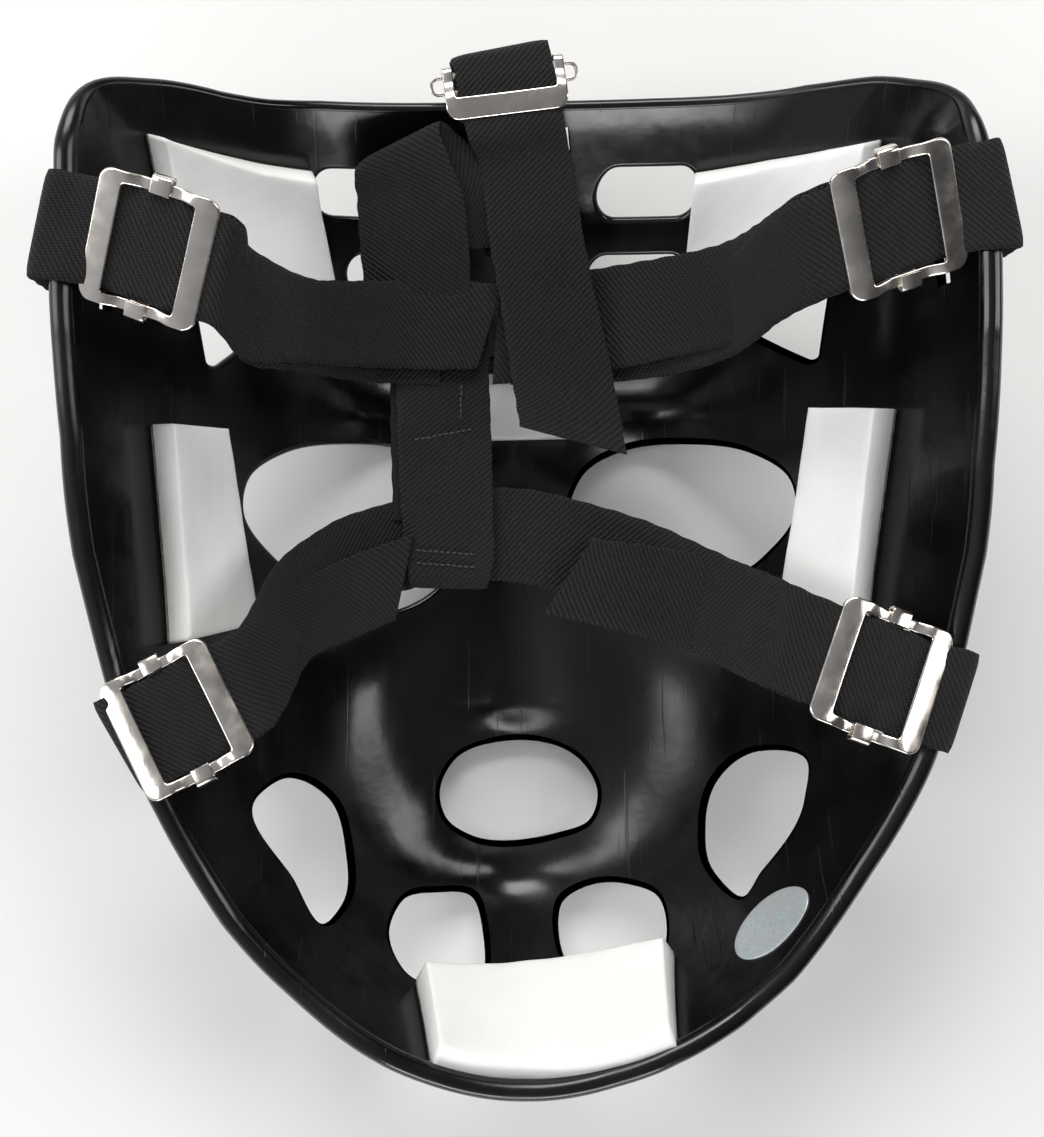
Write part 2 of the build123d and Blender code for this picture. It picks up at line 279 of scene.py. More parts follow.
def foam():
    n = Nodes("white_foam")
    at = n.place()
    cells = n.add("ShaderNodeTexVoronoi", Scale=1900.0)
    n.tree.links.new(at, cells.inputs["Vector"])
    cut = n.noise(at, 420, 4, 0.6, (1, 0.06, 1))
    broad = n.noise(at, 45, 3)
    colour = n.ramp(broad, [(0.3, (0.90, 0.90, 0.88)), (0.7, (0.95, 0.95, 0.935))])
    normal = n.bump(cells.outputs["Distance"], 0.00012, 0.35)
    normal = n.bump(cut, 0.0003, 0.22, normal)
    rough = n.span(broad, 0.62, 0.8)
    return n.use(Base_Color=colour, Roughness=rough, Normal=n.bump(broad, 0.0012, 0.25, normal),
                 Subsurface_Weight=0.12, Subsurface_Radius=(0.004, 0.004, 0.004), Subsurface_Scale=0.4)


def elastic(pitch=1.25):
    """Twill-woven elastic: short floats in diagonal rows, denser lines across, matt with a faint sheen."""
    n = Nodes("black_elastic")
    uv = n.place(uv=True)
    parts = n.add("ShaderNodeSeparateXYZ")
    n.tree.links.new(uv, parts.inputs[0])
    u = n.math("MULTIPLY", parts.outputs["X"], 1000.0)
    v = n.math("MULTIPLY", parts.outputs["Y"], 1000.0)
    wobble = n.noise(uv, 160, 2)
    u = n.math("ADD", u, n.math("MULTIPLY", wobble, 0.5))
    diagonal = n.math("ADD", n.math("MULTIPLY", u, 0.92), n.math("MULTIPLY", v, 0.72))
    row = n.math("ABSOLUTE", n.math("SINE", n.math("MULTIPLY", diagonal, math.pi / pitch)))
    across = n.math("SUBTRACT", v, n.math("MULTIPLY", u, 0.15))
    threads = n.math("SINE", n.math("MULTIPLY", across, 2 * math.pi / 0.62))
    floats = n.math("MULTIPLY", row, n.span(threads, 0.45, 1.0, -1, 1))
    fuzz = n.noise(uv, 2600, 3, 0.7)
    height = n.math("ADD", floats, n.math("MULTIPLY", fuzz, 0.35))
    broad = n.noise(uv, 30, 3)
    # Colour follows the weave's height: painted shade darkens the hollows between the floats, and broad noise
    # adds random tone.
    hollow_shade_and_tone = n.math("MULTIPLY", height, n.span(broad, 0.75, 1.2, 0.3, 0.7))
    colour = n.ramp(hollow_shade_and_tone, [(0.3, (0.0008, 0.0008, 0.0009)), (1.0, (0.018, 0.018, 0.0193))])
    normal = n.bump(height, 0.0006, 1.0)
    return n.use(Base_Color=colour, Roughness=n.span(fuzz, 0.62, 0.9), Normal=normal,
                 Sheen_Weight=0.03, Sheen_Roughness=0.4, Specular_IOR_Level=0.32)


def nickel(name, tint):
    n = Nodes(name)
    at = n.place()
    smudge = n.noise(at, 190, 4, 0.6)
    hair = n.noise(at, 2500, 2, 0.5, (1, 0.04, 1))
    wear = n.ramp(n.noise(at, 420, 5, 0.7), [(0.60, (0, 0, 0)), (0.72, (1, 1, 1))])
    rough = n.math("ADD", n.span(smudge, 0.10, 0.26, 0.3, 0.7), n.math("MULTIPLY", wear, 0.05))
    colour = n.ramp(smudge, [(0.25, tuple(0.9 * c for c in tint)), (0.75, tint)])
    normal = n.bump(hair, 0.00003, 0.4)
    normal = n.bump(smudge, 0.00006, 0.1, normal)
    return n.use(Base_Color=colour, Metallic=1.0, Roughness=rough, Normal=normal)


def foil():
    """Blank hologram foil: fine facets in pale silver tints."""
    n = Nodes("foil_label")
    at = n.place()
    facets = n.add("ShaderNodeTexVoronoi", Scale=950.0)
    n.tree.links.new(at, facets.inputs["Vector"])
    waves = n.noise(at, 240, 2)
    value = n.math("FRACT", n.math("ADD", n.math("MULTIPLY", waves, 3.0), facets.outputs["Distance"]))
    stops = [(0.0, (0.52, 0.62, 0.66)), (1.0, (0.62, 0.60, 0.66)), (0.3, (0.70, 0.74, 0.74))]
    stops += [(0.55, (0.46, 0.62, 0.70)), (0.8, (0.72, 0.70, 0.66))]
    colour = n.ramp(value, stops)
    return n.use(Base_Color=colour, Metallic=0.55, Roughness=n.span(waves, 0.28, 0.45),
                 Normal=n.bump(facets.outputs["Distance"], 0.0001, 0.4))


def thread():
    n = Nodes("black_thread")
    at = n.place()
    twist = n.noise(at, 1800, 3)
    colour = n.ramp(twist, [(0.3, (0.008, 0.008, 0.009)), (0.7, (0.03, 0.03, 0.032))])
    return n.use(Base_Color=colour, Roughness=0.6, Normal=n.bump(twist, 0.0002, 0.6), Sheen_Weight=0.2)


def tape():
    n = Nodes("adhesive_tape")
    at = n.place()
    grime = n.noise(at, 300, 4, 0.7)
    colour = n.ramp(grime, [(0.35, (0.10, 0.095, 0.08)), (0.7, (0.33, 0.32, 0.28))])
    return n.use(Base_Color=colour, Roughness=n.span(grime, 0.3, 0.6), Normal=n.bump(grime, 0.0002, 0.4))


def paper():
    n = Nodes("floor_paper")
    at = n.place()
    grain = n.noise(at, 700, 3)
    broad = n.noise(at, 2.5, 2)
    colour = n.ramp(broad, [(0.3, (0.80, 0.797, 0.785)), (0.7, (0.83, 0.826, 0.815))])
    return n.use(Base_Color=colour, Roughness=0.7, Normal=n.bump(grain, 0.0002, 0.15), Specular_IOR_Level=0.3)


PLASTIC, FOAM, ELASTIC = plastic(), foam(), elastic()
NICKEL = nickel("nickel_plate", (0.86, 0.80, 0.73))
NICKEL_BAR = nickel("nickel_bar", (0.84, 0.78, 0.71))
FOIL, THREAD, TAPE, PAPER = foil(), thread(), tape(), paper()


# ---- shell --------------------------------------------------------------------------------------
def reach(x, y):
    across = np.abs(x) / HALF_WIDTH
    power = np.where(y >= 0, 2 + 2.2 * ease(y / 70), 2 - 0.25 * ease(-y / 50))
    along = np.where(y >= 0, y / TOP_Y, -y / CHIN_Y)
    return (across**power + along**power) ** (1 / power)


def inner_z(x, y):
    x, y = np.asarray(x, float), np.asarray(y, float)
    heading = y / (np.hypot(x, y) + 1e-9)
    chin, top = ease((-heading - 0.35) / 0.65), ease((heading - 0.45) / 0.55)
    rise = SIDE_RISE + (CHIN_RISE - SIDE_RISE) * chin + (TOP_RISE - SIDE_RISE) * top
    z = FRONT + rise * reach(x, y) ** (2.7 + 2.3 * chin - 0.4 * top)
    z = z - 10.5 * bell(np.hypot((np.abs(x) - 36) / 26, (y - 44) / 16))
    z = z - 2.0 * bell(np.hypot(x / 26, (y - 44) / 16))
    nose = ease((30 - y) / 62) * (1 - ease((-36 - y) / 12))
    z = z - 4.0 * nose * bell(x / (8 + 7 * ease((20 - y) / 60)))
    z = z - 3.5 * bell(np.hypot((np.abs(x) - 50) / 20, (y + 22) / 22))
    return z - 12.0 * bell(np.hypot(x / 30, (y + 88) / 18))


def rim_outline():
    side = [(0, -127), (30, -119.5), (58, -98), (80, -67), (95, -30), (103, 8), (106.3, 55), (105.8, 88)]
    corner = [(104.6, 98), (101.5, 104.6), (95.5, 109.6), (87, 112)]
    right = side + corner
    top = [(60, 111.8), (30, 111.6), (0, 111.5)]
    half = right + top
    return hermite(half + [(-x, y) for x, y in half[-2:0:-1]], 1.6, closed=True)


RIM = rim_outline()
RIM_ANGLE = np.arctan2(RIM[:, 0], RIM[:, 1])
ORDER = np.argsort(RIM_ANGLE)
RIM_R = np.hypot(RIM[:, 0], RIM[:, 1])


def rim_share(x, y):
    """How far out a point is: 0 at the middle, 1 on the rim."""
    limit = np.interp(np.arctan2(x, y), RIM_ANGLE[ORDER], RIM_R[ORDER], period=2 * math.pi)
    return np.hypot(x, y) / limit


def bead_share(x, y):
    """1 where the rim is rolled, 0 along the plain forehead edge."""
    return 1 - ease((y - 92) / 17) * ease((107 - np.abs(x)) / 10)


# The moulding isn't quite even: how far its rim lies inside the nominal outline, by turn from the forehead.
UNEVEN_TURN = np.array([-180, -163, -152, -140, -124, -105, -88, -74, -60, -50, -42, -33, -24, -12, 0,
                        16, 24, 31, 36, 40.5, 44, 48, 56, 68, 77, 88, 100, 115, 131, 147, 155, 163, 170, 180])
UNEVEN = np.array([0.7, 0.4, -0.6, -2.0, -1.4, -1.7, -1.6, 0.6, 0.6, 1.6, 0.9, 1.2, -0.6, -1.1, -1.5,
                   -2.1, -2.1, -2.4, -0.6, 2.5, 4.8, 5.4, 3.0, 1.3, 0.4, -2.6, -3.8, -4.3, -3.8, -4.2, -3.0,
                   -0.5, 0.4, 0.7])


def inner_point(x, y):
    """The inner face, drawn in a little where the rolled rim stands on it."""
    x, y = np.asarray(x, float), np.asarray(y, float)
    uneven = np.interp(np.degrees(np.arctan2(x, y)), UNEVEN_TURN, UNEVEN)
    pull = (2.1 * bead_share(x, y) + uneven) * ease((rim_share(x, y) - 0.8) / 0.2) / (np.hypot(x, y) + 1e-6)
    return np.stack([x * (1 - pull), y * (1 - pull), inner_z(x, y)], -1)


def surface(x, y):
    """Points of the inner face and its unit normals into the bowl."""
    s = 0.4
    dx = inner_point(x + s, y) - inner_point(x - s, y)
    dy = inner_point(x, y + s) - inner_point(x, y - s)
    return inner_point(x, y), unit(np.cross(dx, dy))


def blob(points):
    return hermite(points, 1.3, closed=True)


def stadium(x, y, length, height):
    r, half = height / 2, (length - height) / 2
    ends = [(x + s * half + r * math.cos(a), y + r * math.sin(a))
            for s, a0 in ((1, -90), (-1, 90)) for a in np.radians(np.linspace(a0, a0 + 180, 15))]
    return resampled(ends, 1.3)


def resampled(points, step):
    p = np.vstack([points, points[:1]])
    line = []
    for a, b in zip(p, p[1:]):
        n = max(1, math.ceil(np.linalg.norm(b - a) / step))
        line += [a + (b - a) * k / n for k in range(n)]
    return np.array(line)


def triangle(*corners):
    c = [np.array(p, float) for p in corners]
    mid = [(c[i] + c[(i + 1) % 3]) / 2 for i in range(3)]
    turns = [filleted([mid[i - 1], c[i], mid[i]], [1.2])[:-1] for i in range(3)]
    return np.vstack(turns)


def flip(points):
    return [(-x, y) for x, y in points]


EYE = [(14.5, 17), (19, 27), (31, 33.8), (46, 34.8), (60, 31.5), (69, 24), (70.5, 14), (64, 3),
       (50, -7), (34, -12), (21, -5)]
MOUTH = [(-21, -61), (-17, -52.5), (-6, -47.5), (8, -47.5), (18, -52.5), (22.6, -61), (20.5, -69),
         (11, -74), (-12, -74.5), (-19, -69)]
CHEEK_LEFT = [(-66, -57.5), (-61.5, -54.6), (-49.5, -61), (-44.8, -74), (-45, -87), (-48, -90), (-57.5, -78)]
CHEEK_RIGHT = [(70.5, -47), (70, -57), (60, -75.5), (54, -82.5), (50, -79), (48.9, -68), (52.5, -56),
               (62, -47.3)]
LOWER_LEFT = [(-33.5, -93.5), (-30.5, -88.3), (-21, -87.6), (-11, -90), (-8.6, -97), (-9, -106),
              (-19, -107.5), (-29.5, -103)]
LOWER_RIGHT = [(12, -91), (18, -86.8), (29, -84.5), (37, -86.5), (38, -93), (35, -100), (23, -105),
               (13, -104)]

# Where each strap crosses the rim: x, y, heading, buckle place along it, then how the buckle lies there:
# shift x, shift y, turn, pitch and roll in degrees, how far out the strap's loop stands, how
# much higher it lies on the rim, and how far the buckle is lifted.
ANCHORS = {
    "upper_left": (-106.1, 75.5, 168.5, -21.5, 2.0, -1.6, -7, -2, -23, 1.9, 1.5, 2.4),
    "upper_right": (106.1, 82.5, 12.0, -23.0, -3.4, -1.5, 6.8, 0, 26, -0.8, 1.5, 1.1),
    "lower_left": (-91.5, -40.0, 210.0, -14.8, -1.7, -2.2, -2.6, 3, 10, 2.9, 0, 0.2),
    "lower_right": (95.5, -29.5, -17.5, -17.5, 2.1, -0.3, -3.6, -4, -8, 5.6, 0, 1.0),
    "crown": (-2.6, 111.6, 101.0, 8.5, -0.9, 4.4, -4, 0, 0, 0, 0, 0),
}


class Anchor:
    def __init__(self, name):
        x, y, heading, self.buckle_u, dx, dy, turn, pitch, roll, self.loop_u, self.rise, lift = ANCHORS[name]
        a = math.radians(heading)
        self.base = np.array([x, y, 0.0])
        self.out = np.array([math.cos(a), math.sin(a), 0.0])
        self.side = np.array([-self.out[1], self.out[0], 0.0])
        self.rim_z = float(inner_z(x, y))
        self.tail_z = self.rim_z + BEAD_R + 0.3 + 0.7
        self.main_z = self.tail_z - 3.0
        self.slot_z = self.rim_z - SLOT_DROP
        self.centre = self.at(self.buckle_u, 0, self.tail_z)
        self.moved = self.centre + np.array([dx, dy, lift])
        b, p, r = math.radians(heading + turn), math.radians(pitch), math.radians(roll)
        u = np.array([math.cos(b) * math.cos(p), math.sin(b) * math.cos(p), math.sin(p)])
        s = unit(np.cross([0, 0, 1], u))
        n = np.cross(u, s)
        self.axes = np.array([u, s * math.cos(r) + n * math.sin(r), n * math.cos(r) - s * math.sin(r)])

    def at(self, u, v, z):
        return self.base + self.out * u + self.side * v + np.array([0, 0, z])

    def place(self, u, v, w):
        """A point in the buckle's own axes: u outwards, v across, w away from the shell."""
        local = np.stack(np.broadcast_arrays(u, v, w), -1)
        return self.moved + local @ self.axes

    def strap_point(self, u, v, z):
        """A point of the strap: it lies as the buckle does there, and square to the rim at the loop."""
        above = float(ease((z - self.slot_z) / (self.main_z - self.slot_z)))
        plain = self.at(u, v, z + self.rise * above)
        lying = self.place(u - self.buckle_u, v, z - self.tail_z)
        share = float(ease((0.5 - 3 * self.rise - u) / 8.5)) * above
        return plain + (lying - plain) * share


def wall_slot(anchor, length=26.5, height=4.4):
    """The plan outline of a slot that runs level through the side wall."""
    loops = []
    for z, way in ((anchor.slot_z - height / 2, 1), (anchor.slot_z + height / 2, -1)):
        row = []
        for v in np.linspace(-length / 2, length / 2, 19)[::way]:
            low, high = -24.0, 4.0
            for _ in range(40):
                mid = (low + high) / 2
                x, y, _z = anchor.at(mid, v, 0)
                low, high = (mid, high) if inner_z(x, y) < z else (low, mid)
            row.append(anchor.at(low, v, 0)[:2])
        loops += row
    return np.array(loops)


def crown_slot(anchor, length=26.5, width=5.0):
    signs = ((-1, -1), (1, -1), (1, 1), (-1, 1))
    corners = [anchor.at(-8.5 + a * width / 2, b * length / 2, 0)[:2] for a, b in signs]
    return resampled(corners, 1.3)


def inside(points, loop):
    """Which points lie within a closed plan loop."""
    x, y = points[:, 0][:, None], points[:, 1][:, None]
    a, b = loop, np.roll(loop, -1, axis=0)
    crosses = (a[:, 1] > y) != (b[:, 1] > y)
    at = (b[:, 0] - a[:, 0]) * (y - a[:, 1]) / (b[:, 1] - a[:, 1] + 1e-12) + a[:, 0]
    return (np.sum(crosses & (x < at), axis=1) % 2) == 1


def clearance(points, loop):
    return np.min(np.hypot(points[:, 0][:, None] - loop[:, 0], points[:, 1][:, None] - loop[:, 1]), axis=1)


def widened(loop, by):
    """A plan loop moved away from its own inside."""
    ahead = np.roll(loop, -1, axis=0) - np.roll(loop, 1, axis=0)
    side = unit(np.stack([ahead[:, 1], -ahead[:, 0]], -1))
    area = np.sum(loop[:, 0] * np.roll(loop[:, 1], -1) - loop[:, 1] * np.roll(loop[:, 0], -1))
    return loop + side * by * (1 if area > 0 else -1)


def shell_holes():
    holes = [blob(EYE), blob(flip(EYE)), blob(MOUTH), blob(CHEEK_LEFT), blob(CHEEK_RIGHT)]
    holes += [blob(LOWER_LEFT), blob(LOWER_RIGHT)]
    holes += [stadium(32.3, 95.2, 26, 10.6), stadium(-40, 95.0, 26, 10.6)]
    holes += [stadium(31, 76.5, 26, 10.4), stadium(-32, 76.5, 26, 10.4)]
    holes.append(triangle((74.9, 52.1), (57, 63.9), (76.8, 71.5)))
    holes.append(triangle((-78.1, 49.6), (-63, 64.7), (-80.8, 68)))
    holes = [(widened(h, 1.0), WALL / 2) for h in holes]
    slots = [wall_slot(Anchor(s)) for s in ANCHORS if s != "crown"] + [crown_slot(Anchor("crown"))]
    return holes + [(s, 0.35) for s in slots]


def build_shell():
    holes = shell_holes()
    loops = [RIM] + [h for h, _ in holes]
    grid = []
    for k in range(1, 19):
        ring = RIM * (1 - 0.0125 * k)
        grid.append(ring if k < 6 else ring[::2] if k % 2 else ring[1::2])
    xs, ys = np.meshgrid(np.arange(-90, 90, 2.3), np.arange(-105, 95, 2.1))
    xs[1::2] += 1.15
    inner = np.stack([xs.ravel(), ys.ravel()], -1)
    grid.append(inner[rim_share(inner[:, 0], inner[:, 1]) < 0.765])
    free = np.vstack(grid)
    keep = np.ones(len(free), bool)
    for loop in loops[1:]:
        keep &= ~inside(free, loop) & (clearance(free, loop) > 0.8)
    free = free[keep]
    points, edges, count = [], [], 0
    for loop in loops:
        n = len(loop)
        edges += [(count + i, count + (i + 1) % n) for i in range(n)]
        points.append(loop)
        count += n
    points = np.vstack(points + [free])
    made = delaunay_2d_cdt([Vector(p) for p in points], edges, [], 0, 1e-5)
    flat = np.array([tuple(p) for p in made[0]])
    faces = np.array([f for f in made[2] if len(f) == 3])
    middle = flat[faces].mean(axis=1)
    good = inside(middle, RIM)
    for loop in loops[1:]:
        good &= ~inside(middle, loop)
    faces = faces[good]
    a, b, c = (flat[faces[:, k]] for k in range(3))
    turn = (b[:, 0] - a[:, 0]) * (c[:, 1] - a[:, 1]) - (b[:, 1] - a[:, 1]) * (c[:, 0] - a[:, 0])
    faces[turn < 0] = faces[turn < 0][:, ::-1]
    top, normal = surface(flat[:, 0], flat[:, 1])
    low = top - normal * WALL
    verts, norms = [top, low], [normal, -normal]
    quads = [tuple(f) for f in faces] + [tuple(f[::-1] + len(flat)) for f in faces]
    base = 2 * len(flat)
    # rounded lips round the holes, and a plain one where the rim's bead covers it
    for loop, bulge in [(RIM, 0.6)] + holes:
        p, n = surface(loop[:, 0], loop[:, 1])
        ahead = unit(np.roll(p, -1, axis=0) - np.roll(p, 1, axis=0))
        away = np.cross(ahead, n)
        hole_side = loop.mean(axis=0) - loop if loop is not RIM else loop
        sign = np.sign(np.sum(away[:, :2] * hole_side, axis=1))
        away = unit(away * np.median(sign))
        steps = 7
        mid = p - n * WALL / 2
        for k in range(steps + 1):
            phi = math.pi * k / steps
            verts.append(mid + n * math.cos(phi) * WALL / 2 + away * math.sin(phi) * bulge)
            lip = n * math.cos(phi) * bulge + away * math.sin(phi) * WALL / 2
            norms.append(unit(lip + n * math.cos(phi) * 0.3))
        quads += [tuple(base + q for q in f) for f in skin(steps + 1, len(loop))]
        base += (steps + 1) * len(loop)
    return make_mesh("shell_moulding", np.vstack(verts), quads, PLASTIC, normals=np.vstack(norms))


def build_bead():
    """The rolled rim, which flattens into a plain edge along the forehead."""
    p, n = surface(RIM[:, 0], RIM[:, 1])
    ahead = unit(np.roll(p, -1, axis=0) - np.roll(p, 1, axis=0))
    outwards = unit(np.cross(ahead, [0, 0, 1.0]))
    outwards *= np.sign(np.sum(outwards[:, :2] * RIM, axis=1))[:, None]
    up = unit(np.cross(outwards, ahead))
    up *= np.sign(up[:, 2])[:, None]
    rolled = bead_share(RIM[:, 0], RIM[:, 1])[:, None]
    radius = EDGE_R + (BEAD_R - EDGE_R) * rolled
    centre = p - n * WALL / 2 * (1 - rolled) + rolled * (outwards * -0.25 + up * -0.4)
    rings = []
    count = 20
    for k in range(count):
        a = 2 * math.pi * k / count
        way = outwards * math.cos(a) + up * math.sin(a)
        rings.append(centre + way * radius)
    quads = skin(count, len(RIM), closed=True)
    return face_outwards(make_mesh("shell_rim_bead", np.vstack(rings), quads, PLASTIC))


# ---- foam pads ----------------------------------------------------------------------------------
# Each pad's outline in plan, PAD_FACE above the wall: four corners, and how far its first and last edges bow.
PADS = {
    "forehead_pad_left": ((-86, 99.3), (-49.2, 97.2), (-84, 76.5), (-45.4, 72.8), 0, 0),
    "forehead_pad_right": ((40.6, 96.3), (82.4, 99.3), (40.6, 72.2), (83.4, 76.2), 0, 0),
    "brow_pad": ((-14, 51.5), (16, 51.5), (-13, 33), (16, 33.5), 0, 0),
    "temple_pad_left": ((-85, 34.5), (-73, 34.6), (-81.5, -19), (-66, -15), 0, 0),
    "temple_pad_right": ((71.7, 40.1), (85, 38.3), (65, -15), (79.5, -17), 0, 0),
    "chin_pad": ((-28.3, -100), (38.6, -92), (-24, -115.5), (36, -109.5), -5.5, -7),
}
PAD_FACE = 7.2  # height above the wall, square to it, at which the outlines are given
TAPE_INSET = 0.2


def pad_point(corners, s, t, height):
    a0, b0, a1, b1, bow0, bow1 = corners
    a0, b0, a1, b1 = (np.array(p, float) for p in (a0, b0, a1, b1))
    bow = 4 * s * (1 - s)
    first = a0 + (b0 - a0) * s[:, None]
    last = a1 + (b1 - a1) * s[:, None]
    first[:, 1] += bow * bow0
    last[:, 1] += bow * bow1
    p = first + (last - first) * t[:, None]
    middle = (a0 + b0 + a1 + b1) / 4
    shift = np.zeros(2)
    for _ in range(3):
        n = surface(*(middle - shift))[1]
        shift = n[:2] * PAD_FACE
    foot = p - shift
    at, n = surface(foot[:, 0], foot[:, 1])
    return at + n * height[:, None]


def slab(corners, low, high, edge):
    """Points and faces of a block cut from sheet: crisp, slightly rounded edges, soft hollows in its face."""
    long_s = np.linalg.norm(np.subtract(corners[1], corners[0]))
    long_t = np.linalg.norm(np.subtract(corners[2], corners[0]))
    ns, nt = max(8, round(long_s / 1.1)), max(8, round(long_t / 1.1))
    s, t = np.meshgrid(np.linspace(0, 1, ns + 1), np.linspace(0, 1, nt + 1), indexing="ij")
    around = [(i, 0) for i in range(ns)] + [(ns, j) for j in range(nt)]
    around += [(i, nt) for i in range(ns, 0, -1)] + [(0, j) for j in range(nt, 0, -1)]
    phase = rng.uniform(0, 6.28, 4)

    def layer(inset, height):
        si = s * (1 - 2 * inset / long_s) + inset / long_s
        ti = t * (1 - 2 * inset / long_t) + inset / long_t
        wave = 0.10 * np.sin(9 * s + phase[0]) * np.sin(7 * t + phase[1])
        wave = wave + 0.06 * np.sin(23 * s + phase[2] + 5 * t)
        jag = 0.05 * np.sin(31 * (s + t) + phase[3])
        h = np.full(s.size, height) + (wave.ravel() + jag.ravel() if height > 1 else 0)
        return pad_point(corners, si.ravel(), ti.ravel(), h)

    index = np.arange((ns + 1) * (nt + 1)).reshape(ns + 1, nt + 1)
    verts = [layer(edge, high), layer(edge, low)]
    count = 2 * index.size
    quads = []
    for i in range(ns):
        for j in range(nt):
            q = (index[i, j], index[i + 1, j], index[i + 1, j + 1], index[i, j + 1])
            quads.append(q)
            quads.append(tuple(k + index.size for k in q[::-1]))
    loop = np.array([index[i, j] for i, j in around])
    previous = loop
    bevel = edge * 0.29
    sides = [(bevel, high - bevel), (0, high - edge), (0, (high + low) / 2)]
    sides += [(0, low + edge), (bevel, low + bevel)]
    for inset, height in sides:
        ring = layer(inset, height)[loop]
        verts.append(ring)
        now = np.arange(count, count + len(loop))
        count += len(loop)
        quads += [(previous[k], previous[k - 1], now[k - 1], now[k]) for k in range(len(loop))]
        previous = now
    under = loop + index.size
    quads += [(previous[k], previous[k - 1], under[k - 1], under[k]) for k in range(len(loop))]
    return np.vstack(verts), quads


def build_pad(name, corners):
    made = face_outwards(make_mesh(name + "_foam", *slab(corners, 0.75, 7.7, 0.55), FOAM))
    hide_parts(name)
    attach(made, "mask")


def build_tapes():
    """Double-sided tape under the pads, cut a little smaller than they are."""
    verts, quads, count = [], [], 0
    for corners in PADS.values():
        a0, b0, a1, b1, bow0, bow1 = corners
        a0, b0, a1, b1 = (np.array(p, float) for p in (a0, b0, a1, b1))
        across, down = unit(b0 - a0) * TAPE_INSET, unit(a1 - a0) * TAPE_INSET
        cut = (a0 + across + down, b0 - across + down, a1 + across - down, b1 - across - down, bow0, bow1)
        points, faces = slab(cut, 0.1, 0.65, 0.1)
        verts.append(points)
        quads += [tuple(k + count for k in f) for f in faces]
        count += len(points)
    made = face_outwards(make_mesh("pad_tape_layers", np.vstack(verts), quads, TAPE))
    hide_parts("pad_tapes")
    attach(made, "mask")


# ---- straps -------------------------------------------------------------------------------------
def ribbon(name, edges_a, edges_b, step=1.1, thick=1.4, across=14, start_u=0.0):
    """A woven strap between two edge lines, with rounded selvages."""
    both = np.hstack([edges_a, edges_b])
    line = hermite(both, step)
    a, b = line[:, :3], line[:, 3:]
    centre = (a + b) / 2
    length = np.concatenate([[0], np.cumsum(np.linalg.norm(np.diff(centre, axis=0), axis=1))]) + start_u
    along = unit(np.gradient(centre, axis=0))
    wide = unit(b - a)
    n = unit(np.cross(along, wide))
    ripple = 0.12 * np.sin(length * 0.9)[:, None]
    a, b = a - wide * ripple, b + wide * ripple * np.sin(length * 0.37 + 1)[:, None]
    shares = np.linspace(-1, 1, across + 1)
    half = thick / 2 * (1 - 0.62 * np.abs(shares) ** 9)
    rows, uv = [], []
    for sign, order in ((1, range(across + 1)), (-1, range(across, -1, -1))):
        for k in order:
            w = (shares[k] + 1) / 2
            rows.append(a * (1 - w) + b * w + n * sign * half[k])
            uv.append(np.stack([length, np.full(len(length), shares[k] * STRAP_HALF + 40 * sign)], -1) / 1000)
    rows, uv = np.array(rows), np.array(uv)
    ring, count = rows.shape[0], rows.shape[1]
    verts = rows.transpose(1, 0, 2).reshape(-1, 3)
    uv = uv.transpose(1, 0, 2).reshape(-1, 2)
    return face_outwards(make_mesh(name, verts, capped(count, ring), ELASTIC, uv=uv))


def stations(rows):
    """Edge points from rows of x, y of one edge, x, y of the other, and height."""
    r = np.array(rows, float)
    return np.stack([r[:, 0], r[:, 1], r[:, 4]], -1), np.stack([r[:, 2], r[:, 3], r[:, 4]], -1)


# For each side strap: its run to the middle, listed from the middle outwards, and its free tail.
RUNS = {
    "upper_left": (
        [(-20.4, 46.6, -20.4, 68.6, 45.5), (-33.1, 46.8, -32.8, 68.8, 46), (-43.7, 46.5, -42.9, 67.7, 57),
         (-53.6, 46.7, -52.4, 67.0, 73), (-64.0, 46.9, -62.6, 71.2, 84.5)],
        [(-64.0, 47.3, -62.6, 72.4, 88.5), (-53.3, 48.2, -52.1, 68.4, 76), (-43.4, 49.3, -42.7, 70.3, 60),
         (-30.4, 50.2, -29.9, 72.3, 49), (-20.4, 50.1, -17.9, 72.5, 48.2), (-11.1, 50.3, -4.8, 71.5, 48)]),
    "upper_right": (
        [(2.5, 68.2, -2.6, 46.8, 43.5), (20.2, 70.7, 20.2, 47.3, 44), (34.7, 72.1, 35.2, 48.1, 50),
         (45.2, 72.7, 46.7, 49.9, 63)],
        [(46.0, 77.4, 48.4, 53.4, 67), (33.4, 77.0, 35.1, 52.0, 53), (20.1, 75.9, 20.6, 49.6, 46.2),
         (4.9, 73.5, 3.6, 47.6, 45.7), (-5.2, 71.4, -7.2, 46.6, 45.6)]),
    "lower_left": (
        [(-20.4, -2.5, -20.4, 20.5, 46), (-29.3, -5.6, -31.0, 17.2, 46), (-40.5, -8.0, -44.2, 13.1, 49),
         (-50.9, -12.3, -57.1, 4.4, 58)],
        [(-50.6, -21.1, -56.7, -4.9, 62), (-41.5, -17.2, -45.2, 2.0, 52.5), (-31.6, -13.0, -27.1, 8.8, 50)]),
    "lower_right": (
        [(-12.8, 20.5, -14.8, -3.0, 45.5), (2.4, 20.0, 0.4, -3.8, 45.5), (17.5, 16.4, 13.7, -8.1, 46),
         (32.4, 11.6, 26.8, -12.6, 49), (45.1, 5.4, 38.9, -19.0, 56)],
        [(50.6, 2.0, 43.7, -21.2, 60), (35.7, 5.2, 29.5, -16.9, 52), (18.0, 7.5, 5.7, -11.3, 49)]),
}
